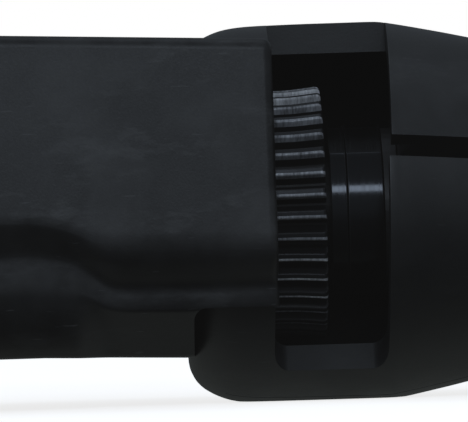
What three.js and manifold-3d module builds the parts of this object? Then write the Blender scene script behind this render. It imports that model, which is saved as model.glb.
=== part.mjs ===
// Coaxial geared drive head: motor, planetary stage, toothed wheel and spindle on one line.
// Millimetres. The spindle lies along X with the nose at +X, Z is up, and the window opens to -Y.
import * as THREE from 'three';
import { mergeVertices } from 'three/addons/utils/BufferGeometryUtils.js';
import Module from 'manifold-3d';

const wasm = await Module();
wasm.setup();

// ---- driving dimensions, measured from the spindle axis and the wheel's right face ----
const WHEEL = { teeth: 36, module: 1, pressure: 14.5, left: -9.5, right: -0.7, bore: 8.1, phase: 0.6 };
const WHEEL_WAIST = [[-9.5, 0.975], [-5.5, 0.972], [-0.7, 1]];
const TRAIN = { module: 0.7, pressure: 20, sun: 12, planet: 18, ring: 48, backlash: 0.06 };
const PLANET_ORBIT = (TRAIN.module * (TRAIN.sun + TRAIN.planet)) / 2;
const PLANET_ANGLES = [0, 120, 240];
const CHAMBER_RADIUS = 23.9;
const REAR_BORE = 18.8;
const SPINDLE_RADIUS = 8;
const BUSHING_BORE = 8.06;
const SOCKET = { radius: 16, seat: 31, end: 48 };
const WINDOW = {
  left: -8.4, rightAbove: 9.5, rightBelow: 8.4, top: 90, bottom: -54.6, lean: 0.12, drift: 0.01,
  cornerWidth: 2.3, cornerArc: 4.1,
};
const SLOT = { angle: 19.8, width: 3.3, from: 8 };
const CLAMP = { x: 40, length: 10, inner: 20, outer: 29.4, half: 6.5, screwRadius: 26 };
const COLLAR = { radius: 13, flat: 12.5, flatAngle: 58 };
const COVER = { right: -8.3, left: -66, wall: 1.6 };
const NOTCH = { left: -20.8, top: -13.4, corner: 1.8 };
const BELT_LINE = [[-45, -0.1], [-42, -0.6], [-39.4, -1.2], [-35, -3.2], [-32, -3.5], [-8, -4]];
const FOLD_LINE = [[-50, -5.5], [-44, -5.2], [-42, -5.5], [-38.2, -6.5], [-33.3, -10.3], [-29.5, -10.9], [-8, -11]];
const CAP = { right: -66.3, left: -80 };
const BELLY = -27.9;
const MOTOR_RADIUS = 17.6;
const COVER_SCREWS = [[-27, 21], [-44, 21], [-60, 21], [-60, -14.5]];
const MOTOR_SCREW_ANGLES = [45, 135, 225, 315];
const CAP_SCREW_Z = [-12, 18];
const ORIGIN_SHIFT = new THREE.Vector3(16, 0, 27.9);

// ---- materials ----
const material = (color, roughness, metalness) =>
  new THREE.MeshStandardMaterial({ color, roughness, metalness });
const BLACK_SHELL = material(0x1b1c1e, 0.5, 0.1);
const BLACK_OXIDE = material(0x141416, 0.32, 0.9);
const BLACK_POLISHED = material(0x101012, 0.22, 0.9);
const STEEL = material(0x8d8f92, 0.35, 1);
const BRONZE = material(0xa9814a, 0.4, 1);
const LAMINATION = material(0x55585c, 0.55, 0.9);
const ALUMINIUM = material(0x9a9da1, 0.45, 0.9);
const CIRCUIT = material(0x14402a, 0.55, 0);
const CHIP = material(0x17181a, 0.6, 0);
const RUBBER = material(0x121212, 0.9, 0);

const group = new THREE.Group();
const radians = (degrees) => (degrees * Math.PI) / 180;
const polar = (radius, degrees) => [radius * Math.cos(radians(degrees)), radius * Math.sin(radians(degrees))];
const smoothstep = (t) => {
  const s = Math.min(1, Math.max(0, t));
  return s * s * (3 - 2 * s);
};

// ---- closed solids ----
function signedVolume(p, corners) {
  let sum = 0;
  for (let i = 0; i < corners.length; i += 3) {
    const [a, b, c] = [corners[i] * 3, corners[i + 1] * 3, corners[i + 2] * 3];
    sum += p[a] * (p[b + 1] * p[c + 2] - p[b + 2] * p[c + 1]);
    sum -= p[a + 1] * (p[b] * p[c + 2] - p[b + 2] * p[c]);
    sum += p[a + 2] * (p[b] * p[c + 1] - p[b + 1] * p[c]);
  }
  return sum;
}

/** Closed solid with outward faces from any three.js geometry. */
function solidFrom(geometry) {
  geometry.deleteAttribute('normal');
  geometry.deleteAttribute('uv');
  const merged = mergeVertices(geometry, 1e-4);
  const points = merged.attributes.position.array;
  const corners = [];
  for (let i = 0; i < merged.index.count; i += 3) {
    const [a, b, c] = [merged.index.getX(i), merged.index.getX(i + 1), merged.index.getX(i + 2)];
    if (a !== b && b !== c && c !== a) {
      corners.push(a, b, c);
    }
  }
  if (signedVolume(points, corners) < 0) {
    corners.reverse();
  }
  const mesh = new wasm.Mesh({
    numProp: 3,
    vertProperties: Float32Array.from(points),
    triVerts: Uint32Array.from(corners),
  });
  return new wasm.Manifold(mesh);
}

function addPiece(name, solid, pieceMaterial) {
  const mesh = solid.getMesh();
  const geometry = new THREE.BufferGeometry();
  geometry.setAttribute('position', new THREE.BufferAttribute(Float32Array.from(mesh.vertProperties), 3));
  geometry.setIndex(new THREE.BufferAttribute(Uint32Array.from(mesh.triVerts), 1));
  geometry.translate(ORIGIN_SHIFT.x, ORIGIN_SHIFT.y, ORIGIN_SHIFT.z);
  geometry.computeVertexNormals();
  const piece = new THREE.Mesh(geometry, pieceMaterial);
  piece.name = name;
  group.add(piece);
}

/** Solid of revolution about X from a closed list of [x, radius] points. */
function turned(profile, segments = 48) {
  const points = profile.map(([x, radius]) => new THREE.Vector2(radius, x));
  points.push(points[0].clone());
  const geometry = new THREE.LatheGeometry(points, segments);
  geometry.rotateZ(-Math.PI / 2);
  return solidFrom(geometry);
}

/** Round bar or tube along X. */
function tube(x0, x1, outer, inner = 0, segments = 48) {
  return turned([[x0, inner], [x0, outer], [x1, outer], [x1, inner]], segments);
}

/** Straight prism along X from a list of [y, z] points. */
function prism(outline, x0, x1) {
  const shape = new THREE.Shape(outline.map(([y, z]) => new THREE.Vector2(y, z)));
  const geometry = new THREE.ExtrudeGeometry(shape, { depth: x1 - x0, bevelEnabled: false });
  geometry.applyMatrix4(new THREE.Matrix4().set(0, 0, 1, x0, 1, 0, 0, 0, 0, 1, 0, 0, 0, 0, 0, 1));
  return solidFrom(geometry);
}

function box(x0, x1, y0, y1, z0, z1) {
  return prism([[y0, z0], [y1, z0], [y1, z1], [y0, z1]], x0, x1);
}

/** Round rod along Y. */
function rodY(x, z, y0, y1, radius, segments = 24) {
  const geometry = new THREE.CylinderGeometry(radius, radius, y1 - y0, segments);
  geometry.translate(x, (y0 + y1) / 2, z);
  return solidFrom(geometry);
}

/** Skin through rings of equally many 3-D points, closed by a flat cap at each end. */
function loft(rings, capOutline) {
  const count = rings[0].length;
  const flat = capOutline ?? rings[0].map(([, y, z]) => [y, z]);
  const caps = THREE.ShapeUtils.triangulateShape(flat.map(([u, v]) => new THREE.Vector2(u, v)), []);
  const indices = [];
  for (let r = 0; r + 1 < rings.length; r += 1) {
    for (let i = 0; i < count; i += 1) {
      const a = r * count + i;
      const b = r * count + ((i + 1) % count);
      indices.push(a, b, b + count, a, b + count, a + count);
    }
  }
  const area = THREE.ShapeUtils.area(flat.map(([u, v]) => new THREE.Vector2(u, v)));
  const last = (rings.length - 1) * count;
  for (const [a, b, c] of caps) {
    const [p, q] = area > 0 ? [c, b] : [b, c];
    indices.push(a, p, q);
    indices.push(last + a, last + q, last + p);
  }
  const geometry = new THREE.BufferGeometry();
  geometry.setAttribute('position', new THREE.Float32BufferAttribute(rings.flat(2), 3));
  geometry.setIndex(indices);
  return solidFrom(geometry);
}

/** The same solid turned about the X axis and moved. */
const placed = (solid, x, y, z, turn = 0) => solid.rotate([turn, 0, 0]).translate([x, y, z]);

// ---- gear teeth ----
/** Outline of an involute gear, with a tooth centred on the +Y direction plus `phase` degrees. */
function gearOutline({ teeth, module: m, pressure, thin = 0, tip = 1, root = 1.25, phase = 0 }) {
  const pitch = (m * teeth) / 2;
  const base = pitch * Math.cos(radians(pressure));
  const outer = pitch + tip * m;
  const inner = pitch - root * m;
  const involute = (angle) => Math.tan(angle) - angle;
  const halfAtPitch = Math.PI / 2 / teeth - thin / 2 / pitch;
  const halfAt = (radius) => {
    const angle = Math.acos(Math.min(1, base / Math.max(radius, base)));
    return halfAtPitch + involute(radians(pressure)) - involute(angle);
  };
  const radii = [inner, Math.max(base, inner + 0.15 * m), (pitch + outer) / 2, outer];
  const outline = [];
  for (let k = 0; k < teeth; k += 1) {
    const centre = radians(phase) + (2 * Math.PI * k) / teeth;
    for (const radius of radii) {
      const angle = centre - halfAt(radius);
      outline.push([radius * Math.cos(angle), radius * Math.sin(angle)]);
    }
    for (const radius of [...radii].reverse()) {
      const angle = centre + halfAt(radius);
      outline.push([radius * Math.cos(angle), radius * Math.sin(angle)]);
    }
  }
  return outline;
}

// ---- housing ----
const HOUSING_OUTSIDE = [
  [-21.4, 22], [-21.1, 23.2], [-20.4, 24.6], [-18.9, 26.05], [-17.3, 26.95], [-15.2, 27.7], [-12.5, 28.12],
  [-6, 28.35], [8, 28.4], [10, 28.05], [14, 27.3], [24, 25.2], [32, 23.9], [45.5, 22.5], [47.2, 21.9], [48, 20.8],
];
const HOUSING_INSIDE = [
  [SOCKET.end, SOCKET.radius + 0.8], [SOCKET.end - 0.8, SOCKET.radius], [SOCKET.seat, SOCKET.radius],
  [SOCKET.seat, 14], [17, 14], [17, 10.5], [10.4, 10.5], [10.4, 20.5], [12.4, CHAMBER_RADIUS],
  [-10.8, CHAMBER_RADIUS], [-10.8, REAR_BORE], [-21.4, REAR_BORE],
];

/** A band of the wall that narrows round its lower corners and drifts a little towards the rear. */
function windowCutter() {
  const arcPerDegree = radians(1) * 26;
  const { cornerWidth, cornerArc } = WINDOW;
  const angles = [90, 75, 60, 45, 32, 22.1, 21.9, 8, -6, -20, -34];
  for (let i = 0; i <= 6; i += 1) {
    angles.push(WINDOW.bottom + (cornerArc * (1 - Math.sin(radians(15 * i)))) / arcPerDegree);
  }
  const rings = angles.map((degrees) => {
    const missing = Math.max(0, 1 - ((degrees - WINDOW.bottom) * arcPerDegree) / cornerArc);
    const inset = cornerWidth * (1 - Math.sqrt(Math.max(0, 1 - missing ** 2)));
    const drift = WINDOW.drift * Math.max(0, 20 - degrees);
    const x0 = WINDOW.left - drift + inset;
    const above = WINDOW.rightAbove - WINDOW.drift * (90 - degrees);
    const x1 = degrees > 22 ? above : WINDOW.rightBelow - drift - inset;
    const lean = degrees === WINDOW.top ? WINDOW.lean : 0;
    const [y0, z0] = polar(21, 180 - degrees - lean * (21 - CHAMBER_RADIUS));
    const [y1, z1] = polar(34, 180 - degrees - lean * (34 - CHAMBER_RADIUS));
    return [[x0, y0, z0], [x1, y0, z0], [x1, y1, z1], [x0, y1, z1]];
  });
  return loft(rings, [[0, 0], [1, 0], [1, 1], [0, 1]]);
}

/** A block that stands on the housing's near side, turned to the slot's angle. */
function atSlot(x0, x1, inner, outer, low, high) {
  return box(x0, x1, -outer, -inner, low, high).rotate([-SLOT.angle, 0, 0]);
}

function rodAcrossSlot(low, high, radius, segments) {
  const geometry = new THREE.CylinderGeometry(radius, radius, high - low, segments);
  geometry.rotateX(Math.PI / 2);
  geometry.translate(CLAMP.x, -CLAMP.screwRadius, (low + high) / 2);
  return solidFrom(geometry).rotate([-SLOT.angle, 0, 0]);
}

function gearHousing() {
  const lugs = atSlot(CLAMP.x - CLAMP.length / 2, CLAMP.x + CLAMP.length / 2,
    CLAMP.inner, CLAMP.outer, -CLAMP.half, CLAMP.half);
  const slot = atSlot(SLOT.from, SOCKET.end + 2, 14.6, 33, -SLOT.width / 2, SLOT.width / 2);
  return turned([...HOUSING_OUTSIDE, ...HOUSING_INSIDE], 60)
    .add(lugs)
    .subtract(windowCutter())
    .subtract(slot)
    .subtract(rodAcrossSlot(-10, 10, 1.8, 16))
    .subtract(rodAcrossSlot(4.2, 12, 3.3, 20))
    .subtract(rodAcrossSlot(-12, -4.2, 3.6, 20))
    .subtract(box(-30, 60, -20, 20, -40, BELLY));
}

function clampHardware() {
  const head = rodAcrossSlot(4.4, 6.9, 2.75, 20);
  const shank = rodAcrossSlot(-7.2, 5, 1.5, 16);
  const key = rodAcrossSlot(5.6, 8, 1.3, 6);
  addPiece('clamp_screw', head.add(shank).subtract(key), STEEL);
  addPiece('clamp_nut', rodAcrossSlot(-6.8, -4.4, 3.1, 6).subtract(rodAcrossSlot(-9, -2, 1.8, 16)), STEEL);
}

// ---- toothed wheel, collars and spindle ----
const keyway = (gap) => box(-8.6 - gap, -1.6 + gap, -1.5 - gap, 1.5 + gap, 5.6 - gap, 9.6 + gap);

function driveWheel() {
  const outline = gearOutline({ ...WHEEL, root: 1.2 });
  const { left, right } = WHEEL;
  const recess = turned([[right - 0.7, 13.6], [right - 0.7, 15.6], [right + 1, 15.9], [right + 1, 13.3]]);
  const farRecess = turned([[left + 0.7, 15.6], [left + 0.7, 13.6], [left - 1, 13.3], [left - 1, 15.9]]);
  const rings = WHEEL_WAIST.map(([x, scale]) => outline.map(([y, z]) => [x, y * scale, z * scale]));
  return loft(rings)
    .subtract(tube(-11, 1, WHEEL.bore))
    .subtract(recess)
    .subtract(farRecess)
    .subtract(keyway(0.1));
}

function collar(x0, x1) {
  const edge = 0.35;
  const r = COLLAR.radius;
  const body = turned([[x0, 8.1], [x0, r - edge], [x0 + edge, r], [x1 - edge, r], [x1, r - edge], [x1, 8.1]]);
  const flat = box(x0 - 1, x1 + 1, -20, -COLLAR.flat, -20, 20).rotate([-COLLAR.flatAngle, 0, 0]);
  const opposite = flat.rotate([180, 0, 0]);
  return body.subtract(flat).subtract(opposite);
}

function spindle() {
  const profile = [
    [-12.4, 5], [-12.4, SPINDLE_RADIUS], [21.6, SPINDLE_RADIUS], [22, 7.6], [22, 3], [-8, 3], [-9, 5],
  ];
  return turned(profile).subtract(keyway(0.1)).subtract(rodY(19.6, 0, -12, 12, 1.4, 16));
}

function screwCoupling() {
  const profile = [
    [17.6, 8.1], [17.6, 11.6], [18.2, 12.2], [29.4, 12.2], [30, 11.6], [30, 4.6], [22.3, 4.6], [22.3, 8.1],
  ];
  const hexagon = prism([0, 60, 120, 180, 240, 300].map((a) => polar(5.8, a)), 22.2, 31);
  return turned(profile).subtract(hexagon).subtract(rodY(19.6, 0, -14, 14, 1.4, 16));
}

// ---- planetary stage ----
const train = (teeth, extra) => ({ teeth, module: TRAIN.module, pressure: TRAIN.pressure, ...extra });

function ringGear() {
  const halfPitch = 180 / TRAIN.ring;
  const teeth = gearOutline(train(TRAIN.ring, { thin: -TRAIN.backlash, tip: 1.25, root: 0.9, phase: halfPitch }));
  return tube(-19.2, -11.4, 18.7, 0, 64).subtract(prism(teeth, -21, -10));
}

function planetGear(angle) {
  const halfPitch = 180 / TRAIN.planet;
  const teeth = gearOutline(train(TRAIN.planet, { thin: TRAIN.backlash, phase: halfPitch }));
  const [y, z] = polar(PLANET_ORBIT, angle);
  return placed(prism(teeth, -18.6, -12.9).subtract(tube(-20, -10, 2.05, 0, 24)), 0, y, z, angle);
}

function planetPin(angle) {
  const [y, z] = polar(PLANET_ORBIT, angle);
  return placed(tube(-18.8, -10.5, 2, 0, 24), 0, y, z);
}

function planetCarrier() {
  let carrier = tube(-12.6, -10.3, 15.4, 8.1);
  for (const angle of PLANET_ANGLES) {
    const [y, z] = polar(PLANET_ORBIT, angle);
    carrier = carrier.subtract(placed(tube(-14, -9, 2.05, 0, 24), 0, y, z));
  }
  return carrier;
}

// ---- motor ----
function motorScrewHoles(radius, x0, x1) {
  return MOTOR_SCREW_ANGLES.map((angle) => placed(tube(x0, x1, radius, 0, 16), 0, ...polar(15.4, angle)));
}

function motorDisc(x0, x1, outer, bore) {
  let disc = tube(x0, x1, outer, bore);
  for (const hole of motorScrewHoles(1.5, x0 - 1, x1 + 1)) {
    disc = disc.subtract(hole);
  }
  return disc;
}

function motorScrews() {
  const screws = MOTOR_SCREW_ANGLES.map((angle) => {
    const shank = tube(-52, -19.6, 1.2, 0, 16);
    const head = tube(-53.4, -51.9, 2.2, 0, 16).subtract(tube(-54, -52.6, 1.1, 0, 6));
    return placed(shank.add(head), 0, ...polar(15.4, angle));
  });
  screws.forEach((screw, i) => addPiece(`motor_screw_${i + 1}`, screw, STEEL));
}

// ---- covers ----
/** Value at x on straight lines between [x, value] points sorted by x. */
function interpolate(points, x) {
  const next = points.findIndex(([px]) => px >= x);
  if (next <= 0) {
    return next === 0 ? points[0][1] : points.at(-1)[1];
  }
  const [x0, v0] = points[next - 1];
  const [x1, v1] = points[next];
  return v0 + ((v1 - v0) * (x - x0)) / (x1 - x0);
}

/** Half outline of the cover's outside at x, from top centre down to bottom centre, y >= 0. */
function coverSide(x) {
  const top = 25.65 + Math.min(1.75, (COVER.right - x) * 0.041);
  const bottom = -20.7 + Math.min(0.7, Math.max(0, -22 - x) * 0.034);
  const belt = interpolate(BELT_LINE, x);
  const fold = interpolate(FOLD_LINE, x);
  const full = smoothstep((-33 - x) / 5.5);
  const mix = (front, rear) => front + (rear - front) * full;
  const below = (share) => fold + (bottom - fold) * share;
  return [
    [0, top], [24.6, top], [25.6, top - 0.4], [26, top - 1.4],
    [30.3, belt], [mix(29.3, 29.6), (belt + fold) / 2], [mix(27, 28.6), fold],
    [mix(26.7, 28.6), below(0.3)], [mix(23.4, 27.7), below(0.62)], [mix(21.2, 26.4), below(0.82)],
    [mix(19.2, 24), bottom], [0, bottom],
  ];
}

/** Moves every side of a closed outline inward by the same distance. */
function insetOutline(outline, distance) {
  return outline.map(([y, z], i) => {
    const [y0, z0] = outline.at(i - 1);
    const [y1, z1] = outline[(i + 1) % outline.length];
    const before = new THREE.Vector2(y - y0, z - z0).normalize();
    const after = new THREE.Vector2(y1 - y, z1 - z).normalize();
    const along = before.clone().add(after).normalize();
    const reach = distance / Math.max(0.5, along.dot(after));
    return [y - along.y * reach, z + along.x * reach];
  });
}

function coverRing(x, inset = 0) {
  const near = coverSide(x).map(([y, z]) => [-y, z]);
  const far = near.slice(1, -1).reverse().map(([y, z]) => [-y, z]);
  return insetOutline([...near, ...far], inset).map(([y, z]) => [x, y, z]);
}

/** What the covers leave out so that the housing's rounded collar shows below them. */
function collarNotch() {
  const { left, top, corner } = NOTCH;
  return box(left + corner, 0, -40, 40, -40, top)
    .add(box(left, 0, -40, 40, -40, top - corner))
    .add(rodY(left + corner, top - corner, -40, 40, corner, 32));
}

function coverShell() {
  const stations = [-9.5, -14, -22, -30, -33, -36, -38.5, -42, -46, -54, COVER.left];
  const front = [[COVER.right, 1.1], [-8.6, 0.5], [-9, 0.12]].map(([x, inset]) => coverRing(x, inset));
  const outside = loft([...front, ...stations.map((x) => coverRing(x))]);
  const inner = [0, ...stations.slice(1, -1), COVER.left - 4];
  const inside = loft(inner.map((x) => coverRing(x, COVER.wall)));
  const collarRoom = HOUSING_OUTSIDE.map(([x, r]) => [x - 0.15, r + 0.3]);
  const room = turned([...collarRoom, [48, 0], [-21.55, 0]], 60);
  return outside.subtract(inside).subtract(room).subtract(collarNotch());
}

function coverHalf(shell, side) {
  const half = side < 0 ? box(-90, 0, -40, -0.15, -40, 40) : box(-90, 0, 0.15, 40, -40, 40);
  let cover = shell.intersect(half);
  for (const [x, z] of COVER_SCREWS) {
    const [y0, y1] = side < 0 ? [-27, -0.15] : [0.15, 27];
    cover = cover.add(rodY(x, z, y0, y1, 2.9, 20));
  }
  for (const [x, z] of COVER_SCREWS) {
    cover = side < 0
      ? cover.subtract(rodY(x, z, -16, 1, 1.5, 16))
      : cover.subtract(rodY(x, z, -1, 40, 1.5, 16)).subtract(rodY(x, z, 24.6, 40, 2.5, 20));
  }
  return cover;
}

function coverScrew(x, z) {
  const key = rodY(x, z, 25.4, 27, 1.1, 6);
  return rodY(x, z, -15, 24.9, 1.2, 16).add(rodY(x, z, 24.8, 26.4, 2.2, 20)).subtract(key);
}

// ---- rear cap and foot ----
function rearCap() {
  const rings = [[CAP.right, 0], [-77, 0], [-79, 0.8], [CAP.left, 2.4]].map(([x, inset]) => coverRing(x, inset));
  const foot = loft([-66.3, -70, -78.6].map((x, i) => {
    const deep = [-22, -27.2, -27.2][i];
    return [[x, -17, -18], [x, -15, deep], [x, 15, deep], [x, 17, -18]];
  }));
  const pocket = box(-76, -60, -24, 24, -14, 23.5);
  const socketHole = tube(-82, -70, 4.7, 0, 32).translate([0, 0, 8]);
  let cap = loft(rings).add(foot).subtract(pocket).subtract(socketHole);
  for (const z of CAP_SCREW_Z) {
    cap = cap.add(tube(-78, -67, 2.8, 0, 20).translate([0, 0, z]))
      .subtract(tube(-82, -60, 1.5, 0, 16).translate([0, 0, z]))
      .subtract(tube(-82, -76.4, 2.6, 0, 20).translate([0, 0, z]));
  }
  return cap.subtract(footPad(0.1));
}

function capScrew(z) {
  const head = tube(-78.8, -76.7, 2.2, 0, 20).subtract(tube(-79.5, -77.6, 1.1, 0, 6));
  return head.add(tube(-77, -63, 1.2, 0, 16)).translate([0, 0, z]);
}

const footPad = (gap) => box(-77.4 - gap, -71 + gap, -13 - gap, 13 + gap, BELLY, -26.4 + gap);

// ---- electronics ----
function controlBoard() {
  return box(-63.6, -62, -17, 17, -9.5, 16)
    .subtract(tube(-70, -55, 2.9, 0, 20).translate([0, 0, 18]))
    .subtract(tube(-70, -55, 2.9, 0, 20).translate([0, 0, -12]));
}

// ---- assembly ----
addPiece('gear_housing', gearHousing(), BLACK_SHELL);
clampHardware();

addPiece('drive_wheel', driveWheel(), BLACK_OXIDE);
addPiece('collar_inner', collar(0.25, 2.6), BLACK_POLISHED);
addPiece('collar_outer', collar(2.75, 8), BLACK_POLISHED);
addPiece('spindle', spindle(), BLACK_OXIDE);
addPiece('wheel_key', keyway(0).subtract(tube(-12, 2, 5.7, 0, 24)), STEEL);
addPiece('thrust_washer', tube(8.2, 10.2, 12.4, 8.3), CHIP);
addPiece('front_bushing', tube(10.5, 16.9, 10.4, BUSHING_BORE), BRONZE);
addPiece('screw_coupling', screwCoupling(), BLACK_OXIDE);
addPiece('coupling_pin', rodY(19.6, 0, -11.6, 11.6, 1.3, 16), STEEL);

addPiece('ring_gear', ringGear(), STEEL);
addPiece('planet_carrier', planetCarrier(), STEEL);
PLANET_ANGLES.forEach((angle, i) => {
  addPiece(`planet_pin_${i + 1}`, planetPin(angle), STEEL);
  addPiece(`planet_gear_${i + 1}`, planetGear(angle), BRONZE);
});
const sunTeeth = gearOutline(train(TRAIN.sun, { thin: TRAIN.backlash, root: 1.2 }));
addPiece('sun_pinion', prism(sunTeeth, -18.8, -13).subtract(tube(-20, -12, 2.1, 0, 24)), STEEL);

addPiece('motor_plate', motorDisc(-21.3, -19.5, 18.6, 6.5), ALUMINIUM);
addPiece('motor_front_bell', motorDisc(-25.6, -21.6, MOTOR_RADIUS, 2.06), ALUMINIUM);
addPiece('stator_stack', motorDisc(-47.6, -25.9, MOTOR_RADIUS, 9.4), LAMINATION);
addPiece('motor_rear_bell', motorDisc(-51.7, -47.9, MOTOR_RADIUS, 2.06), ALUMINIUM);
motorScrews();
addPiece('motor_shaft', tube(-54, -13.2, 2, 0, 32), STEEL);
addPiece('rotor_core', tube(-46.5, -27, 9.1, 2.1), LAMINATION);

const shell = coverShell();
addPiece('cover_near', coverHalf(shell, -1), BLACK_SHELL);
addPiece('cover_far', coverHalf(shell, 1), BLACK_SHELL);
COVER_SCREWS.forEach(([x, z], i) => addPiece(`cover_screw_${i + 1}`, coverScrew(x, z), STEEL));

addPiece('rear_cap', rearCap(), BLACK_SHELL);
CAP_SCREW_Z.forEach((z, i) => addPiece(`cap_screw_${i + 1}`, capScrew(z), STEEL));
addPiece('foot_pad', footPad(0), RUBBER);

addPiece('control_board', controlBoard(), CIRCUIT);
addPiece('driver_chip', box(-61.8, -60.4, -4, 4, -3, 5), CHIP);
addPiece('board_connector', box(-61.8, -57, 8, 15, -2, 2), CHIP);
addPiece('power_socket', tube(-79, -67, 4.5, 2.6, 32).add(tube(-69, -67, 4.5, 0, 32)).translate([0, 0, 8]), CHIP);

export default group;
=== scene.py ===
"""Geared drive head: visible shells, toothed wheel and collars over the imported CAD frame."""

import math

import bmesh
import bpy
from mathutils import Matrix, Vector


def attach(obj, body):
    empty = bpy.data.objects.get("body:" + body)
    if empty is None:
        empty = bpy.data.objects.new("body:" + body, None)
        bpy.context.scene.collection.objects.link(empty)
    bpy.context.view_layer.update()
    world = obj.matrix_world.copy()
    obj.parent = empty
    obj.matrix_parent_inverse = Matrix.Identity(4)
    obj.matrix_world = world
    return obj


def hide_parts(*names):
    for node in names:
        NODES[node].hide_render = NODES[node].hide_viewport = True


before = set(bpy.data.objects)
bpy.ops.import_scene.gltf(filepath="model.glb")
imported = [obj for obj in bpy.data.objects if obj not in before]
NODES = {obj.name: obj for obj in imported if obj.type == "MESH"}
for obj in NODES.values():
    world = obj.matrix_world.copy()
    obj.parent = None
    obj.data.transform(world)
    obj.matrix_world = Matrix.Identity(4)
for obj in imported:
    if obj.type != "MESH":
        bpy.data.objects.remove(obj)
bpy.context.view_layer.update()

# Design dimensions in millimetres, from the spindle axis and the wheel's right face.
ORIGIN = (16.0, 0.0, 27.9)
# Profiles are (x, radius). The outside runs from the rear face to the nose.
HOUSING_OUTSIDE = [
    (-21.4, 22.0), (-21.25, 22.8), (-20.9, 23.7), (-20.4, 24.6), (-19.7, 25.4), (-18.9, 26.05),
    (-17.3, 26.95), (-15.2, 27.7), (-12.5, 28.12), (-9.0, 28.28), (-4.0, 28.37), (4.0, 28.4),
    (7.5, 28.4), (8.8, 28.32), (10.0, 28.1), (11.5, 27.83), (14.0, 27.33), (18.0, 26.5),
    (24.0, 25.2), (32.0, 23.9), (45.2, 22.5), (46.6, 22.25), (47.5, 21.7), (47.9, 21.0), (48.0, 20.2),
]
CHAMBER_RADIUS = 23.9
HOUSING_INSIDE = [
    (48.0, 16.8), (47.2, 16.0), (31.0, 16.0), (31.0, 14.0), (17.0, 14.0), (17.0, 10.5),
    (10.4, 10.5), (10.4, 20.5), (12.4, CHAMBER_RADIUS), (-10.8, CHAMBER_RADIUS),
    (-10.8, 18.8), (-21.4, 18.8),
]
# Window: its right edge steps back at the slot. Top, bottom, step and level_above are degrees above the
# horizontal, drift is in mm per degree and lean, the roof's tilt, in degrees per mm of radius.
WINDOW = {
    "left": -8.4, "above": 9.5, "below": 8.4, "top": 90.0, "bottom": -54.6, "step": 22.0,
    "level_above": 20.0, "lean": 0.12, "drift": 0.01, "corner_width": 2.3, "corner_arc": 4.1,
}
WINDOW_CUTTER_RADII = (21.0, 34.0)
WALL_MIDDLE_RADIUS = 26.0
SLOT = {"angle": 19.8, "width": 3.3, "from": 8.0}
SEAM = {"angle": -74.5, "from": -16.5, "to": 34.0, "width": 0.22, "depth": 0.16}
CLAMP = {
    "x": 40.0, "length": 10.0, "inner": 20.0, "outer": 29.4, "half": 6.5, "screw": 26.0,
    "hole": 1.8, "head_pocket": 3.3, "nut_pocket": 3.6, "pocket_floor": 4.2,
}
SPINDLE_BORE = 8.1
COLLAR = {"radius": 13.0, "flat": 12.5, "angle": 58.0, "edge": 0.14}
WHEEL = {"teeth": 36, "tip": 19.0, "left": -9.5, "right": -0.7, "phase": 0.6}
# Scale of the wheel's section along x.
WHEEL_WAIST = [
    (-9.5, 0.973), (-8.0, 0.970), (-6.5, 0.971), (-5.0, 0.974),
    (-3.5, 0.982), (-2.0, 0.991), (-0.7, 1.0),
]
# (radius, half width) of a tooth from root to tip; the last steps are the tip's rounded edge.
TOOTH_FLANK = [
    (16.8, 1.3), (16.95, 1.16), (17.5, 0.97), (18.1, 0.8), (18.7, 0.66),
    (18.89, 0.59), (18.98, 0.48), (19.0, 0.38), (19.0, 0.14),
]
# Teeth whose lower edges carry the brightest painted highlight, counted from the far side over the top.
BRIGHTEST_HIGHLIGHT_TEETH = (10, 11, 20, 21, 22)
COVER = {
    "right": -8.3, "left": -66.0, "wall": 1.3, "round": 1.3, "parting": 0.15,
    "half_width": 30.3, "shoulder": 26.0, "corner": 2.0, "foot_corner": 2.2,
    "top": 25.65, "top_slope": 0.041, "top_rise": 1.75,
    "bottom": -20.7, "bottom_slope": 0.034, "bottom_rise": 0.7, "bottom_level_to": -22,
    "full_from": -33.0, "full_over": 5.5,
}
NOTCH = {"left": -20.8, "top": -13.4, "corner": 1.8}
# (x, z) of the screws that hold the two covers together, and their holes in the far one.
COVER_SCREWS = ((-27, 21), (-44, 21), (-60, 21), (-60, -14.5))
COVER_SCREW = {"hole": 1.5, "pocket": 2.5, "pocket_floor": 24.6}
BELLY = -27.9


def radians(degrees):
    return degrees * math.pi / 180.0


def smoothstep(t):
    s = min(1.0, max(0.0, t))
    return s * s * (3.0 - 2.0 * s)


def mix(first, second, share):
    return (1 - share) * first + share * second


def hermite(p0, p1, p2, p3, t):
    """Point on a curve through p1 and p2 with slopes from their neighbours."""
    span = p2[0] - p1[0]
    slope1 = (p2[1] - p0[1]) / (p2[0] - p0[0])
    slope2 = (p3[1] - p1[1]) / (p3[0] - p1[0])
    a = 2 * t**3 - 3 * t**2 + 1
    b = t**3 - 2 * t**2 + t
    c = -2 * t**3 + 3 * t**2
    d = t**3 - t**2
    return (p1[0] + span * t, a * p1[1] + b * span * slope1 + c * p2[1] + d * span * slope2)


def interpolate(points, x):
    """Value at x on a smooth curve through points sorted by x, level beyond both ends."""
    if x <= points[0][0]:
        return points[0][1]
    for i in range(len(points) - 1):
        if x <= points[i + 1][0]:
            before = points[max(0, i - 1)]
            after = points[min(len(points) - 1, i + 2)]
            t = (x - points[i][0]) / (points[i + 1][0] - points[i][0])
            return hermite(before, points[i], points[i + 1], after, t)[1]
    return points[-1][1]


def near_side(radius, degrees):
    """(y, z) at an angle above the horizontal on the window's side."""
    return (-radius * math.cos(radians(degrees)), radius * math.sin(radians(degrees)))


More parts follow.
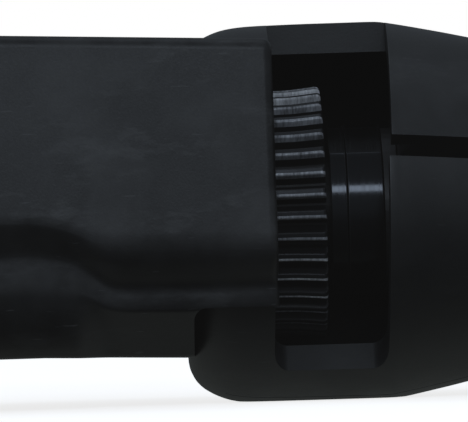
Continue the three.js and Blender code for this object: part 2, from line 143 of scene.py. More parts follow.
# ---- mesh building ----
def mesh_object(name, points, faces):
    """Object from millimetre design points, normals turned outward."""
    mesh = bpy.data.meshes.new(name)
    metres = [tuple((value + shift) / 1000 for value, shift in zip(point, ORIGIN)) for point in points]
    mesh.from_pydata(metres, [], faces)
    work = bmesh.new()
    work.from_mesh(mesh)
    bmesh.ops.remove_doubles(work, verts=work.verts, dist=1e-7)
    bmesh.ops.recalc_face_normals(work, faces=work.faces)
    work.to_mesh(mesh)
    work.free()
    thing = bpy.data.objects.new(name, mesh)
    bpy.context.scene.collection.objects.link(thing)
    return thing


def turned(name, profile, segments=192):
    """Solid of revolution about the spindle axis from a closed list of (x, radius)."""
    points = []
    for i in range(segments):
        angle = 2 * math.pi * (i + 0.5) / segments
        points += [(x, r * math.cos(angle), r * math.sin(angle)) for x, r in profile]
    count = len(profile)
    faces = []
    for i in range(segments):
        here = i * count
        there = ((i + 1) % segments) * count
        for j in range(count):
            k = (j + 1) % count
            if profile[j][1] > 0 or profile[k][1] > 0:
                faces.append((here + j, here + k, there + k, there + j))
    return mesh_object(name, points, faces)


def loft(name, rings):
    """Closed skin through rings of equally many points."""
    count = len(rings[0])
    faces = []
    for r in range(len(rings) - 1):
        for i in range(count):
            a = r * count + i
            b = r * count + (i + 1) % count
            faces.append((a, b, b + count, a + count))
    last = (len(rings) - 1) * count
    faces.append(tuple(range(count)))
    faces.append(tuple(last + i for i in range(count)))
    return mesh_object(name, [p for ring in rings for p in ring], faces)


def prism(name, outline, x0, x1):
    """Straight bar along X with a (y, z) outline."""
    return loft(name, [[(x, y, z) for y, z in outline] for x in (x0, x1)])


def box(name, x0, x1, y0, y1, z0, z1):
    return prism(name, [(y0, z0), (y1, z0), (y1, z1), (y0, z1)], x0, x1)


def turn_about_axis(thing, degrees):
    """Turns a mesh about the spindle axis, positive lifting the window's side."""
    centre = Vector(ORIGIN) / 1000
    turn = Matrix.Rotation(radians(-degrees), 4, "X")
    thing.data.transform(Matrix.Translation(centre) @ turn @ Matrix.Translation(-centre))
    return thing


def bake_modifiers(thing):
    """Replaces an object's mesh by what its modifiers make of it."""
    shown = thing.evaluated_get(bpy.context.evaluated_depsgraph_get())
    result = bpy.data.meshes.new_from_object(shown)
    thing.modifiers.clear()
    old = thing.data
    thing.data = result
    bpy.data.meshes.remove(old)


def combine(thing, other, operation):
    """Joins another solid to this one, or cuts it away, and removes the other."""
    modifier = thing.modifiers.new("cut", "BOOLEAN")
    modifier.operation = operation
    modifier.solver = "EXACT"
    modifier.object = other
    bpy.context.view_layer.update()
    bake_modifiers(thing)
    bpy.data.objects.remove(other)
    return thing


def soften(thing, width, angle=32.0, segments=3):
    """Small rounded edges and smooth shading."""
    bevel = thing.modifiers.new("edges", "BEVEL")
    bevel.width = width / 1000
    bevel.segments = segments
    bevel.limit_method = "ANGLE"
    bevel.angle_limit = radians(angle)
    for polygon in thing.data.polygons:
        polygon.use_smooth = True
    weight = thing.modifiers.new("normals", "WEIGHTED_NORMAL")
    weight.keep_sharp = True
    weight.weight = 60


# ---- materials ----
def new_material(name, color, roughness, metallic=0.0, specular=0.5):
    material = bpy.data.materials.new(name)
    material.use_nodes = True
    shader = principled(material)
    shader.inputs["Base Color"].default_value = (*color, 1.0)
    shader.inputs["Roughness"].default_value = roughness
    shader.inputs["Metallic"].default_value = metallic
    shader.inputs["Specular IOR Level"].default_value = specular
    return material


def principled(material):
    return material.node_tree.nodes["Principled BSDF"]


def add_node(material, kind):
    return material.node_tree.nodes.new(kind)


def link(material, source, target):
    material.node_tree.links.new(source, target)


def position(material, scale=(1.0, 1.0, 1.0), turn=0.0):
    """Object coordinates in metres, turned about Y and stretched by scale."""
    coordinates = add_node(material, "ShaderNodeTexCoord")
    mapping = add_node(material, "ShaderNodeMapping")
    mapping.inputs["Scale"].default_value = scale
    mapping.inputs["Rotation"].default_value = (0.0, radians(turn), 0.0)
    link(material, coordinates.outputs["Object"], mapping.inputs["Vector"])
    return mapping.outputs["Vector"]


def noise(material, vector, scale, detail=3.0, rough=0.55):
    node = add_node(material, "ShaderNodeTexNoise")
    node.inputs["Scale"].default_value = scale
    node.inputs["Detail"].default_value = detail
    node.inputs["Roughness"].default_value = rough
    link(material, vector, node.inputs["Vector"])
    return node.outputs["Fac"]


def remap(material, value, low, high, to_low, to_high):
    node = add_node(material, "ShaderNodeMapRange")
    link(material, value, node.inputs["Value"])
    for socket, number in zip(("From Min", "From Max", "To Min", "To Max"), (low, high, to_low, to_high)):
        node.inputs[socket].default_value = number
    return node.outputs["Result"]


def mix_colors(material, factor, first, second):
    node = add_node(material, "ShaderNodeMix")
    node.data_type = "RGBA"
    link(material, factor, node.inputs["Factor"])
    for socket, color in (("A", first), ("B", second)):
        target = [s for s in node.inputs if s.name == socket and s.type == "RGBA"][0]
        if isinstance(color, tuple):
            target.default_value = (*color, 1.0)
        else:
            link(material, color, target)
    return [s for s in node.outputs if s.type == "RGBA"][0]


def combine_values(material, operation, first, second):
    node = add_node(material, "ShaderNodeMath")
    node.operation = operation
    link(material, first, node.inputs[0])
    link(material, second, node.inputs[1])
    return node.outputs[0]


def bump(material, height, distance):
    node = add_node(material, "ShaderNodeBump")
    node.inputs["Distance"].default_value = distance
    link(material, height, node.inputs["Height"])
    link(material, node.outputs["Normal"], principled(material).inputs["Normal"])


def upward_facing_share(material, under, over):
    """How much of the lighter tone shows here: little on faces that turn downward, full on the others."""
    geometry = add_node(material, "ShaderNodeNewGeometry")
    split = add_node(material, "ShaderNodeSeparateXYZ")
    link(material, geometry.outputs["Normal"], split.inputs[0])
    return remap(material, split.outputs["Z"], -0.16, 0.12, under, over)


def plastic(name, color, roughness, grain=0.000012, dust=0.012, specular=0.5):
    """Fine-grained moulded plastic with cloudy handling marks, dusty smears and hairline scuffs."""
    material = new_material(name, color, roughness, specular=specular)
    shader = principled(material)
    here = position(material)
    clouds = noise(material, here, 75.0, 4.0, 0.6)
    fine = noise(material, here, 3200.0, 2.0)
    smears = noise(material, position(material, (90.0, 160.0, 260.0), 35.0), 1.0, 5.0, 0.65)
    hairs = noise(material, position(material, (240.0, 700.0, 1900.0), 12.0), 1.0, 2.0, 0.4)
    dusty = tuple(c + dust for c in color)
    upward_share = upward_facing_share(material, 0.2, 1.0)
    cloud_dust = combine_values(material, "MULTIPLY", remap(material, clouds, 0.42, 0.68, 0.0, 0.8), upward_share)
    smear_dust = combine_values(material, "MULTIPLY", remap(material, smears, 0.55, 0.72, 0.0, 0.9), upward_share)
    cloudy = mix_colors(material, cloud_dust, color, dusty)
    smeared = mix_colors(material, smear_dust, cloudy, dusty)
    scuffed = mix_colors(material, remap(material, hairs, 0.71, 0.78, 0.0, 0.8), smeared, dusty)
    link(material, scuffed, shader.inputs["Base Color"])
    rough = remap(material, clouds, 0.3, 0.7, roughness - 0.06, roughness + 0.07)
    rough_grain = remap(material, fine, 0.3, 0.7, -0.03, 0.03)
    link(material, combine_values(material, "ADD", rough, rough_grain), shader.inputs["Roughness"])
    bump(material, fine, grain)
    return material


def turned_metal(name, color, roughness, metallic=1.0, specular=0.5, rings=0.000004):
    """Lathe-turned metal: fine rings along the axis and small colour variation."""
    material = new_material(name, color, roughness, metallic, specular)
    shader = principled(material)
    lines = noise(material, position(material, (9000.0, 120.0, 120.0)), 1.0, 2.0)
    patches = noise(material, position(material), 220.0, 3.0)
    darker = tuple(c * 0.8 for c in color)
    lighter = tuple(c * 1.2 for c in color)
    link(material, mix_colors(material, patches, darker, lighter), shader.inputs["Base Color"])
    rough = remap(material, lines, 0.3, 0.7, roughness - 0.06, roughness + 0.08)
    link(material, rough, shader.inputs["Roughness"])
    bump(material, lines, rings)
    return material


def worn_edge_highlight(name, color, dull, roughness):
    """Bright metal in short cross strokes over a dark base, like wear through a black finish, used as a
    painted highlight on tooth edges.
    """
    material = new_material(name, color, roughness, 0.25)
    shader = principled(material)
    strokes = noise(material, position(material, (2600.0, 500.0, 500.0)), 1.0, 3.0, 0.6)
    patches = noise(material, position(material), 260.0, 2.0)
    # Strokes and patches set where the painted highlight is brightest.
    stroke_highlight = remap(material, strokes, 0.3, 0.7, 0.0, 0.7)
    patch_highlight = remap(material, patches, 0.3, 0.7, 0.0, 0.4)
    highlight_share = combine_values(material, "ADD", stroke_highlight, patch_highlight)
    link(material, mix_colors(material, highlight_share, dull, color), shader.inputs["Base Color"])
    rough = remap(material, strokes, 0.3, 0.7, roughness + 0.12, roughness - 0.08)
    link(material, rough, shader.inputs["Roughness"])
    bump(material, strokes, 0.00001)
    return material


BLACK_SHELL = plastic("black_shell", (0.005, 0.0055, 0.006), 0.43, dust=0.02)
COVER_SHELL = plastic("cover_shell", (0.003, 0.0033, 0.0038), 0.44, dust=0.055, specular=0.4)
# Dark matte finish: painted shade in the teeth's valleys and flanks, and the black finish of the spindle
# and screw coupling.
WHEEL_BLACK = turned_metal("wheel_black", (0.006, 0.006, 0.007), 0.5, 0.0, 0.25)
WHEEL_LAND = turned_metal("wheel_land", (0.03, 0.031, 0.034), 0.4, 0.7)
# Painted highlights on the teeth's lower edges, brightest on a few teeth.
WHEEL_EDGE_HIGHLIGHT = worn_edge_highlight("wheel_edge_highlight", (0.52, 0.53, 0.56), (0.05, 0.05, 0.055), 0.46)
WHEEL_BRIGHTEST_HIGHLIGHT = worn_edge_highlight("wheel_brightest_highlight", (0.85, 0.86, 0.88), (0.16, 0.16, 0.17), 0.5)
# The upper tooth edges are kept faint as painted shade.
WHEEL_FAINT = turned_metal("wheel_faint_edge", (0.02, 0.02, 0.022), 0.45, 0.5)
COLLAR_BLACK = turned_metal("collar_black", (0.015, 0.016, 0.018), 0.13, 0.9)
# Brighter finish on the collars' edges: a painted highlight.
COLLAR_EDGE_HIGHLIGHT = turned_metal("collar_edge_highlight", (0.09, 0.093, 0.1), 0.32, 0.9)
MACHINED = turned_metal("machined_steel", (0.42, 0.42, 0.43), 0.32)
BRONZE = turned_metal("bronze", (0.55, 0.36, 0.16), 0.38)
ALUMINIUM = turned_metal("motor_aluminium", (0.5, 0.51, 0.53), 0.45)
LAMINATION = turned_metal("lamination", (0.16, 0.165, 0.17), 0.5, 0.9, rings=0.00003)
CIRCUIT = plastic("circuit_board", (0.012, 0.07, 0.035), 0.4)
CHIP = plastic("chip_plastic", (0.012, 0.012, 0.013), 0.5)
RUBBER = plastic("pad_rubber", (0.01, 0.01, 0.01), 0.8, 0.00003)


# ---- housing ----
def housing_profile():
    """Outside of the housing with smooth steps between its stations."""
    ends = [HOUSING_OUTSIDE[0]] + HOUSING_OUTSIDE + [HOUSING_OUTSIDE[-1]]
    smooth = []
    for i in range(len(HOUSING_OUTSIDE) - 1):
        smooth += [hermite(*ends[i:i + 4], step / 4) for step in range(4)]
    smooth.append(HOUSING_OUTSIDE[-1])
    return smooth


def window_cutter():
    """A band of the wall that narrows round its lower corners and drifts a little towards the rear.

    Its stations are closest together round the lower corners and at the step of the right edge.
    """
    per_degree = radians(1.0) * WALL_MIDDLE_RADIUS
    width, arc = WINDOW["corner_width"], WINDOW["corner_arc"]
    corner_start = WINDOW["bottom"] + arc / per_degree
    angles = [WINDOW["top"] - 2.1 * i for i in range(33)]
    angles += [WINDOW["step"] + 0.05, WINDOW["step"] - 0.05]
    angles += [18 - 3 * i for i in range(23)]
    angles = sorted({a for a in angles if a > corner_start + 0.5}, reverse=True)
    angles += [WINDOW["bottom"] + arc * (1 - math.sin(radians(7.5 * i))) / per_degree for i in range(13)]
    rings = []
    for degrees in angles:
        missing = min(1.0, max(0.0, 1 - (degrees - WINDOW["bottom"]) * per_degree / arc))
        inset = width * (1 - math.sqrt(1 - missing**2))
        drift = WINDOW["drift"] * max(0.0, WINDOW["level_above"] - degrees)
        x0 = WINDOW["left"] - drift + inset
        if degrees > WINDOW["step"]:
            x1 = WINDOW["above"] - WINDOW["drift"] * (WINDOW["top"] - degrees)
        else:
            x1 = WINDOW["below"] - drift - inset
        lean = WINDOW["lean"] if degrees == WINDOW["top"] else 0.0
        inner, outer = WINDOW_CUTTER_RADII
        y0, z0 = near_side(inner, degrees + lean * (inner - CHAMBER_RADIUS))
        y1, z1 = near_side(outer, degrees + lean * (outer - CHAMBER_RADIUS))
        rings.append([(x0, y0, z0), (x1, y0, z0), (x1, y1, z1), (x0, y1, z1)])
    return loft("window_cutter", rings)


def seam_cutter():
    """A fine moulding seam along the housing, low on the window's side."""
    spread = math.degrees(SEAM["width"] / 2 / 28.0)
    rings = []
    for x, r in housing_profile():
        if SEAM["from"] <= x <= SEAM["to"]:
            deep, clear = r - SEAM["depth"], r + 1.0
            corners = ((deep, -spread), (clear, -spread), (clear, spread), (deep, spread))
            rings.append([(x, *near_side(radius, SEAM["angle"] + turn)) for radius, turn in corners])
    return loft("seam_cutter", rings)


def at_slot(name, x0, x1, inner, outer, low, high):
    """A block standing on the window's side, turned to the slot's angle."""
    return turn_about_axis(box(name, x0, x1, -outer, -inner, low, high), SLOT["angle"])


def circle(radius, segments):
    angles = [2 * math.pi * i / segments for i in range(segments)]
    return [(radius * math.cos(angle), radius * math.sin(angle)) for angle in angles]


def rod_across_slot(low, high, radius):
    """A round rod through the clamp lugs, square to the slot."""
    rings = [[(CLAMP["x"] + a, -CLAMP["screw"] + b, z) for a, b in circle(radius, 48)] for z in (low, high)]
    return turn_about_axis(loft("rod", rings), SLOT["angle"])


def housing():
    shell = turned("housing_shell", housing_profile() + HOUSING_INSIDE[1:], 224)
    lug_x0, lug_x1 = CLAMP["x"] - CLAMP["length"] / 2, CLAMP["x"] + CLAMP["length"] / 2
    lugs = at_slot("lugs", lug_x0, lug_x1, CLAMP["inner"], CLAMP["outer"], -CLAMP["half"], CLAMP["half"])
    combine(shell, lugs, "UNION")
    combine(shell, window_cutter(), "DIFFERENCE")
    half = SLOT["width"] / 2
    combine(shell, at_slot("slot", SLOT["from"], 50.0, 14.6, 33.0, -half, half), "DIFFERENCE")
    pocket = CLAMP["pocket_floor"]
    combine(shell, rod_across_slot(-10, 10, CLAMP["hole"]), "DIFFERENCE")
    combine(shell, rod_across_slot(pocket, 12, CLAMP["head_pocket"]), "DIFFERENCE")
    combine(shell, rod_across_slot(-12, -pocket, CLAMP["nut_pocket"]), "DIFFERENCE")
    combine(shell, seam_cutter(), "DIFFERENCE")
    combine(shell, box("belly", -30, 60, -20, 20, -40, BELLY), "DIFFERENCE")
    soften(shell, 0.28)
    return shell


# ---- covers ----
# Heights (x, z) of the belt line and of the fold below it.
BELT_LINE = [
    (-50.0, -0.1), (-44.5, -0.2), (-42.0, -0.6), (-39.4, -1.25), (-37.0, -2.2),
    (-35.0, -3.1), (-32.5, -3.5), (-19.0, -3.7), (-8.0, -4.0),
]
FOLD_LINE = [
    (-50.0, -5.5), (-44.5, -5.2), (-42.0, -5.5), (-38.2, -6.5), (-35.5, -8.4),
    (-33.3, -10.2), (-29.5, -10.9), (-8.0, -11.0),
]
# (share of the way from the shoulder down to the belt, narrowing there in mm).
SHOULDER_STEPS = [
    (0.15, 0.0), (0.3, 0.0), (0.45, 0.0), (0.6, 0.0), (0.75, 0.0), (0.9, 0.0), (0.945, 0.0),
    (0.9725, 0.03), (1.0, 0.13),
]
# Narrowing in mm from the belt (0) to the fold (1).
FRONT_UNDERCUT = [
    (0.0, 0.13), (0.1, 0.165), (0.17, 0.215), (0.25, 0.33), (0.35, 0.55), (0.45, 0.92),
    (0.65, 1.95), (0.78, 2.8), (0.85, 3.12), (0.92, 3.26), (1.0, 3.3),
]
REAR_UNDERCUT = [
    (0.0, 0.13), (0.1, 0.2), (0.25, 0.42), (0.45, 0.78), (0.65, 1.2), (0.85, 1.58), (1.0, 1.72),
]
# Half width in mm from the fold (0) to the bottom (1).
FRONT_FLANK = [
    (0.0, 27.0), (0.1, 27.0), (0.2, 26.94), (0.28, 26.82), (0.3, 26.72), (0.32, 26.54),
    (0.35, 26.22), (0.5, 24.6), (0.7, 22.4), (0.9, 20.2), (1.0, 19.1),
]
REAR_FLANK = [
    (0.0, 28.58), (0.06, 28.58), (0.2, 28.66), (0.35, 28.62), (0.5, 28.25), (0.62, 27.75),
    (0.72, 27.2), (0.82, 26.45), (0.9, 25.6), (0.96, 24.8), (1.0, 24.1),
]


def cover_half_outline(x):
    """(half width, height) from top centre to bottom centre."""
    top = COVER["top"] + min(COVER["top_rise"], (COVER["right"] - x) * COVER["top_slope"])
    past_level = max(0.0, COVER["bottom_level_to"] - x)
    bottom = COVER["bottom"] + min(COVER["bottom_rise"], past_level * COVER["bottom_slope"])
    belt = interpolate(BELT_LINE, x)
    fold = interpolate(FOLD_LINE, x)
    full = smoothstep((COVER["full_from"] - x) / COVER["full_over"])
    shoulder, widest, corner = COVER["shoulder"], COVER["half_width"], COVER["corner"]
    side = [(0.0, top), (8.0, top), (16.0, top), (22.0, top)]
    for i in range(9):
        angle = radians(90 - 82.0 * i / 8)
        side.append((shoulder - corner + corner * math.cos(angle), top - corner + corner * math.sin(angle)))
    y0, z0 = side[-1]
    for t, narrowing in SHOULDER_STEPS:
        side.append((y0 + (widest - y0) * t - narrowing, z0 + (belt - z0) * t))
    for i in range(1, 17):
        u = i / 16
        narrowing = mix(interpolate(FRONT_UNDERCUT, u), interpolate(REAR_UNDERCUT, u), full)
        side.append((widest - narrowing, belt + (fold - belt) * u))
    turn, start = COVER["foot_corner"], 45
    foot = bottom + turn * (1 - math.sin(radians(start)))
    for i in range(1, 41):
        u = i / 40
        width = mix(interpolate(FRONT_FLANK, u), interpolate(REAR_FLANK, u), full)
        side.append((width, fold + (foot - fold) * u))
    last = side[-1][0] + turn * math.cos(radians(180 - start))
    for a in range(start + 8, 90, 8):
        side.append((last + turn * math.cos(radians(a)), bottom + turn * (1 - math.sin(radians(a)))))
    side += [(last, bottom), (6.0, bottom), (0.0, bottom)]
    return side


def inset_side(side, distance):
    """Moves a half outline inward by a distance, without letting it fold back on itself."""
    moved = []
    for i, (y, z) in enumerate(side):
        before = side[max(0, i - 1)]
        after = side[min(len(side) - 1, i + 1)]
        along = Vector((after[0] - before[0], after[1] - before[1])).normalized()
        point = (y + along.y * distance, z - along.x * distance)
        if moved and (point[0] - moved[-1][0]) * along.x + (point[1] - moved[-1][1]) * along.y <= 0:
            point = moved[-1]
        moved.append(point)
    return moved


def cover(name, side):
    """One half cover as a thin shell with a rounded front edge, cut back round the housing's collar."""
    right, turn = COVER["right"], COVER["round"]
    stations = []
    for a in range(0, 91, 15):
        stations.append((right - turn * (1 - math.cos(radians(a))), turn * (1 - math.sin(radians(a)))))
    straight = [-10.5, -12, -14, -16, -18, -20, -22, -24, -25.5]
    straight += [-27 - 0.75 * i for i in range(36)] + [-56, -60, -64, COVER["left"]]
    stations += [(x, 0.0) for x in straight]
    rings = []
    for x, inset in stations:
        outline = cover_half_outline(x)
        loop = inset_side(outline, inset) + inset_side(outline, COVER["wall"])[::-1]
        rings.append([(x, side * max(COVER["parting"], y), z) for y, z in loop])
    shell = loft(name, rings)
    room = [(x - 0.05, r + 0.06) for x, r in housing_profile()] + [(48.0, 0.0), (-21.45, 0.0)]
    combine(shell, turned("collar_room", room, 224), "DIFFERENCE")
    combine(shell, collar_notch(), "DIFFERENCE")
    if side > 0:
        pocket_y = COVER_SCREW["pocket_floor"]
        for x, z in COVER_SCREWS:
            combine(shell, rod_y(x, z, 20.0, 40.0, COVER_SCREW["hole"]), "DIFFERENCE")
            combine(shell, rod_y(x, z, pocket_y, 40.0, COVER_SCREW["pocket"]), "DIFFERENCE")
    soften(shell, 0.3, 34.0)
    return shell


def collar_notch():
    """What the covers leave out so that the housing's rounded collar shows below them."""
    left, top, corner = NOTCH["left"], NOTCH["top"], NOTCH["corner"]
    outline = [(left + corner - corner * math.cos(radians(a)), top - corner + corner * math.sin(radians(a)))
               for a in range(0, 91, 6)]
    outline += [(0.0, top), (0.0, -40.0), (left, -40.0)]
    return loft("collar_notch", [[(x, y, z) for x, z in outline] for y in (-40.0, 40.0)])


def rod_y(x, z, y0, y1, radius):
    """A round rod across the covers."""
    return loft("rod", [[(x + a, y, z + b) for a, b in circle(radius, 40)] for y in (y0, y1)])


# ---- wheel and collars ----
def toothed_wheel():
    """The wheel, tooth by tooth, a little waisted, with chamfered ends and a recess in its right face."""
    outline = []
    for k in range(WHEEL["teeth"]):
        centre = radians(WHEEL["phase"]) + 2 * math.pi * k / WHEEL["teeth"]
        outline += [(r, centre - h / r) for r, h in TOOTH_FLANK]
        outline += [(r, centre + h / r) for r, h in reversed(TOOTH_FLANK)]
    left, right = WHEEL["left"], WHEEL["right"]
    stations = [
        (left, 0.35), (left + 0.35, 0.0), (-8.0, 0.0), (-6.5, 0.0), (-5.0, 0.0), (-3.5, 0.0), (-2.3, 0.0),
        (right - 0.75, 0.0), (right - 0.45, 0.06), (right - 0.2, 0.2), (right - 0.05, 0.42), (right, 0.65),
    ]
    rings = []
    for x, chamfer in stations:
        scale = interpolate(WHEEL_WAIST, x)
        ring = []
        for r, angle in outline:
            radius = min(r, WHEEL["tip"] - chamfer) * scale
            ring.append((x, radius * math.cos(angle), radius * math.sin(angle)))
        rings.append(ring)
    wheel = loft("toothed_wheel", rings)
    finish_teeth(wheel, len(outline) // WHEEL["teeth"], len(stations))
    bore = turned("bore", [(-12, SPINDLE_BORE), (2, SPINDLE_BORE), (2, 0.0), (-12, 0.0)], 96)
    combine(wheel, bore, "DIFFERENCE")
    floor_x = right - 0.7
    recess = turned("recess", [(floor_x, 13.6), (floor_x, 15.6), (1, 16.0), (1, 13.2)], 128)
    combine(wheel, recess, "DIFFERENCE")
    return wheel


def finish_teeth(wheel, per_tooth, stations):
    """Gives each strip of a tooth its place in WHEEL_FINISHES: dark valleys and flanks and faint upper
    edges as painted shade, bright lower edges as painted highlight.
    """
    valley, lower_edge, land, upper_edge, brightest_edge = range(5)
    half = per_tooth // 2
    finish = {half - 4: upper_edge, half - 3: upper_edge, half - 2: land, half - 1: land}
    finish.update({half + step: lower_edge for step in range(5)})
    per_ring = per_tooth * WHEEL["teeth"]
    for row in range(stations - 1):
        for i in range(per_ring):
            index = finish.get(i % per_tooth, valley)
            # A few teeth take the brightest painted highlight on their lower edges.
            if index == lower_edge and i // per_tooth in BRIGHTEST_HIGHLIGHT_TEETH:
                index = brightest_edge
            wheel.data.polygons[row * per_ring + i].material_index = index


def collar(name, x0, x1):
    """A polished collar with two flats; its edges carry the second, brighter finish as a painted highlight.
    """
    edge, r = COLLAR["edge"], COLLAR["radius"]
    profile = [(x0, SPINDLE_BORE)]
    for a in range(0, 91, 18):
        sine, cosine = math.sin(radians(a)), math.cos(radians(a))
        profile.append((x0 + edge - edge * cosine, r - edge + edge * sine))
    for a in range(0, 91, 18):
        sine, cosine = math.sin(radians(a)), math.cos(radians(a))
        profile.append((x1 - edge + edge * sine, r - edge + edge * cosine))
    profile.append((x1, SPINDLE_BORE))
    ring = turned(name, profile, 192)
    for turn in (COLLAR["angle"], COLLAR["angle"] + 180):
        flat = turn_about_axis(box("flat", x0 - 1, x1 + 1, -20, -COLLAR["flat"], -20, 20), turn)
        combine(ring, flat, "DIFFERENCE")
    soften(ring, 0.1, 14.0, 2)
    # The bevelled edges take the painted highlight finish.
    ring.modifiers["edges"].material = 1
    return ring


# ---- pieces ----
def place(thing, materials, body, node):
    """Gives a new piece its finishes, attaches it to its body and hides the CAD node it stands for."""
    for material in materials:
        thing.data.materials.append(material)
    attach(thing, body)
    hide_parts(node)


place(housing(), [BLACK_SHELL], "body", "gear_housing")
place(cover("near_cover_shell", -1), [COVER_SHELL], "body", "cover_near")
place(cover("far_cover_shell", 1), [COVER_SHELL], "body", "cover_far")
WHEEL_FINISHES = [WHEEL_BLACK, WHEEL_EDGE_HIGHLIGHT, WHEEL_LAND, WHEEL_FAINT, WHEEL_BRIGHTEST_HIGHLIGHT]
place(toothed_wheel(), WHEEL_FINISHES, "spindle_group", "drive_wheel")
COLLAR_FINISHES = [COLLAR_BLACK, COLLAR_EDGE_HIGHLIGHT]
narrow_collar = collar("narrow_collar", 0.25, 2.6)
wide_collar = collar("wide_collar", 2.75, 8.0)
place(narrow_collar, COLLAR_FINISHES, "spindle_group", "collar_inner")
place(wide_collar, COLLAR_FINISHES, "spindle_group", "collar_outer")

# Finishes of the CAD pieces that are shown as they are; all others are machined steel.
CARRIED = {
    "rear_cap": COVER_SHELL, "foot_pad": RUBBER, "screw_coupling": WHEEL_BLACK, "spindle": WHEEL_BLACK,
    # The thrust washer takes the dark chip plastic as painted shade in the gap between the collar and the
    # housing.
    "thrust_washer": CHIP, "front_bushing": BRONZE, "planet_gear_1": BRONZE, "planet_gear_2": BRONZE,
    "planet_gear_3": BRONZE, "motor_plate": ALUMINIUM, "motor_front_bell": ALUMINIUM,
    "motor_rear_bell": ALUMINIUM, "stator_stack": LAMINATION, "rotor_core": LAMINATION,
    "control_board": CIRCUIT, "driver_chip": CHIP, "board_connector": CHIP, "power_socket": CHIP,
}
REPLACED = ("gear_housing", "cover_near", "cover_far", "drive_wheel", "collar_inner", "collar_outer")
for node_name, node_object in NODES.items():
    if node_name in REPLACED:
        continue
    node_object.data.materials.clear()
    node_object.data.materials.append(CARRIED.get(node_name, MACHINED))
    soften(node_object, 0.12, 30.0, 2)


# ---- floor, light and camera ----
def floor():
    half = 3.0
    corners = [(-half, -half, 0), (half, -half, 0), (half, half, 0), (-half, half, 0)]
    mesh = bpy.data.meshes.new("floor")
    mesh.from_pydata(corners, [], [(0, 1, 2, 3)])
    plane = bpy.data.objects.new("floor", mesh)
    bpy.context.scene.collection.objects.link(plane)
    material = new_material("pale_floor", (0.9, 0.9, 0.9), 0.8)
    shader = principled(material)
    shader.inputs["Emission Color"].default_value = (1, 1, 1, 1)
    shader.inputs["Emission Strength"].default_value = 0.8
    mesh.materials.append(material)
    plane.visible_diffuse = False
    plane.visible_glossy = False


# Soft light round the X axis: (degrees above the camera's side, brightness).
SKY_RAMP = [
    (-180, 0.10), (-140, 0.13), (-105, 0.22), (-75, 0.055), (-45, 0.01), (-12, 0.07), (0, 0.2),
    (16, 0.27), (33, 0.29), (55, 0.25), (75, 0.2), (105, 0.11), (140, 0.185), (180, 0.1),
]
SKY_TINT = (0.87, 1.0, 1.16)
GROUND_TINT = (0.9, 1.0, 0.97)
GROUND_BELOW = -40
# Lifts the darkest tones a little, as a camera does.
BLACK_LEVEL = -0.0042


def sky_color(tree):
    """The ramp's colour for a direction, by its angle round the X axis."""
    coordinates = tree.nodes.new("ShaderNodeTexCoord")
    split = tree.nodes.new("ShaderNodeSeparateXYZ")
    tree.links.new(coordinates.outputs["Generated"], split.inputs[0])
    flip = tree.nodes.new("ShaderNodeMath")
    flip.operation = "MULTIPLY"
    flip.inputs[1].default_value = -1.0
    tree.links.new(split.outputs["Y"], flip.inputs[0])
    angle = tree.nodes.new("ShaderNodeMath")
    angle.operation = "ARCTAN2"
    tree.links.new(split.outputs["Z"], angle.inputs[0])
    tree.links.new(flip.outputs[0], angle.inputs[1])
    spread = tree.nodes.new("ShaderNodeMapRange")
    spread.inputs["From Min"].default_value = -math.pi
    spread.inputs["From Max"].default_value = math.pi
    tree.links.new(angle.outputs[0], spread.inputs["Value"])
    ramp = tree.nodes.new("ShaderNodeValToRGB")
    ramp.color_ramp.interpolation = "B_SPLINE"
    elements = ramp.color_ramp.elements
    while len(elements) < len(SKY_RAMP):
        elements.new(0.5)
    for element, (degrees, value) in zip(elements, SKY_RAMP):
        element.position = (degrees + 180) / 360
        tint = SKY_TINT if degrees > GROUND_BELOW else GROUND_TINT
        element.color = (value * tint[0], value * tint[1], value * tint[2], 1)
    tree.links.new(spread.outputs["Result"], ramp.inputs["Fac"])
    return ramp.outputs["Color"]


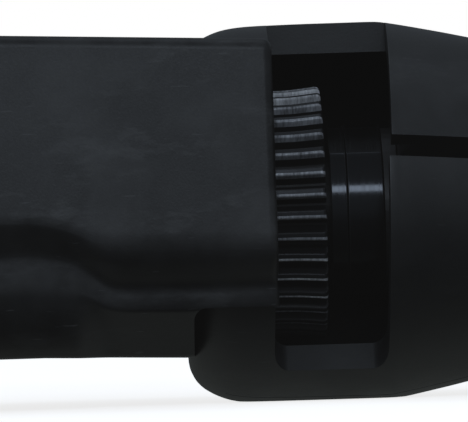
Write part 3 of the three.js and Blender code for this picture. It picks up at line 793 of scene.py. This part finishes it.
def studio():
    """White to the camera; to the object, soft light that changes with height and side."""
    world = bpy.data.worlds.new("studio")
    bpy.context.scene.world = world
    world.use_nodes = True
    tree = world.node_tree
    tree.nodes.clear()
    lit = tree.nodes.new("ShaderNodeBackground")
    tree.links.new(sky_color(tree), lit.inputs["Color"])
    white = tree.nodes.new("ShaderNodeBackground")
    white.inputs["Color"].default_value = (1, 1, 1, 1)
    path = tree.nodes.new("ShaderNodeLightPath")
    choose = tree.nodes.new("ShaderNodeMixShader")
    output = tree.nodes.new("ShaderNodeOutputWorld")
    tree.links.new(path.outputs["Is Camera Ray"], choose.inputs[0])
    tree.links.new(lit.outputs[0], choose.inputs[1])
    tree.links.new(white.outputs[0], choose.inputs[2])
    tree.links.new(choose.outputs[0], output.inputs["Surface"])


def softbox(name, at, toward, size, power):
    light = bpy.data.lights.new(name, "AREA")
    light.shape = "RECTANGLE"
    light.size, light.size_y = size
    light.energy = power
    light.color = SKY_TINT
    lamp = bpy.data.objects.new(name, light)
    lamp.location = at
    lamp.rotation_euler = (Vector(toward) - Vector(at)).to_track_quat("-Z", "Y").to_euler()
    bpy.context.scene.collection.objects.link(lamp)


def camera():
    """Long lens a little left of square on, with a slight roll."""
    roll = radians(1.8)
    yaw = radians(1.3)
    distance = 900.0
    seen_width = 70.2
    sensor_width = 36.0
    target = Vector((-13.94 + ORIGIN[0], 0.0, 0.65 + ORIGIN[2])) / 1000
    back = Vector((-math.sin(yaw), -math.cos(yaw), 0.0))
    level = Vector((math.cos(yaw), -math.sin(yaw), 0.0))
    upright = Vector((0.0, 0.0, 1.0))
    right = level * math.cos(roll) - upright * math.sin(roll)
    up = level * math.sin(roll) + upright * math.cos(roll)
    data = bpy.data.cameras.new("camera")
    data.sensor_width = sensor_width
    data.lens = sensor_width * distance / seen_width
    data.clip_start = 0.05
    data.clip_end = 20.0
    thing = bpy.data.objects.new("camera", data)
    turn = Matrix((right, up, back)).transposed().to_4x4()
    thing.matrix_world = Matrix.Translation(target + back * distance / 1000) @ turn
    bpy.context.scene.collection.objects.link(thing)
    bpy.context.scene.camera = thing


floor()
studio()
softbox("top_softbox", (0.05, 0.1, 0.78), (0.0, 0.0, 0.03), (0.6, 0.35), 0.3)
softbox("front_strip", (0.03, -0.67, 0.42), (0.02, 0.0, 0.03), (0.16, 0.11), 0.5)
camera()
view = bpy.context.scene.view_settings
view.view_transform = "Standard"
view.use_curve_mapping = True
view.curve_mapping.black_level = (BLACK_LEVEL, BLACK_LEVEL, BLACK_LEVEL)
